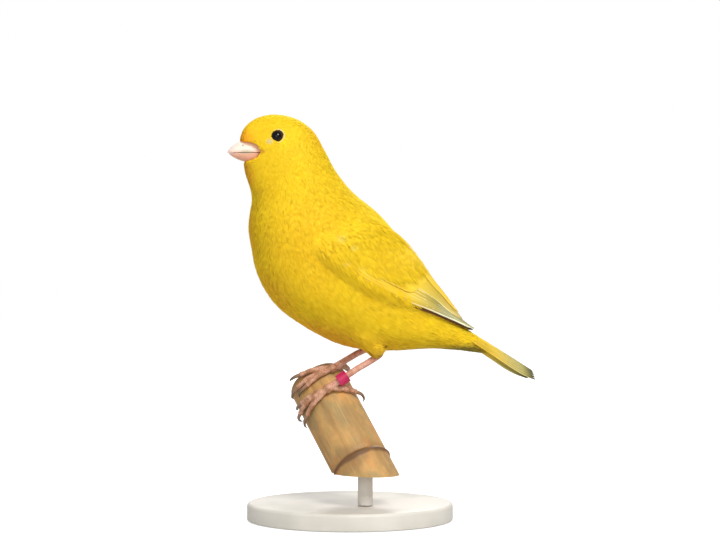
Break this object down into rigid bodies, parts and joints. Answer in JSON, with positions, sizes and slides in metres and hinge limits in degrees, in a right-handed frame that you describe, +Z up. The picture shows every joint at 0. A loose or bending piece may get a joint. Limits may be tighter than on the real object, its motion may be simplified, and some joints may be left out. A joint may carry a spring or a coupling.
{
  "type": "canary model",
  "caption": "Life-size still model of a yellow canary perched on a short cut of sloping cane, held by a plain round display stand.",
  "frame": {"origin": "centre of the stand base's underside, on the surface that it stands on", "axes": "+Z up; the bird looks along -X, its tail points to +X, and its left side faces -Y; its middle plane is y = 0"},
  "size_m": [0.1096, 0.072, 0.1412],
  "materials": {
    "feathers": "soft bright yellow body feathers, matt, built as fine overlapping mesh in the looks",
    "wing_feathers": "yellow coverts and pale greenish flight feathers with darker shafts and pale edges, matt",
    "tail_feathers": "yellow to olive tail feathers with pale edges and a dark tip, matt",
    "bill": "pale pink horn, half gloss",
    "eye": "wet, near-black, glossy",
    "leg_skin": "pink scaled skin, half matt",
    "claw": "grey-brown horn, half gloss",
    "ring_plastic": "magenta-pink plastic leg ring, glossy",
    "cane": "dry tan cane with ochre mottling and a dark knot ring, half matt",
    "stand_paint": "plain warm white satin paint"
  },
  "bodies": {
    "root": {"head": "feathers", "neck": "feathers", "torso": "feathers", "thigh_left": "feathers", "thigh_right": "feathers", "tail": "tail_feathers", "wing_left": "wing_feathers", "wing_right": "wing_feathers", "bill_upper": "bill", "bill_lower": "bill", "eye_left": "eye", "eye_right": "eye", "tarsus_left": "leg_skin", "tarsus_right": "leg_skin", "foot_left": "leg_skin", "foot_right": "leg_skin", "leg_ring": "ring_plastic", "perch": "cane", "stand_base": "stand_paint", "stand_rod": "stand_paint", "claw_left_inner": "claw", "claw_left_middle": "claw", "claw_left_outer": "claw", "claw_left_hind": "claw", "claw_right_inner": "claw", "claw_right_middle": "claw", "claw_right_outer": "claw", "claw_right_hind": "claw"}
  },
  "joints": []
}
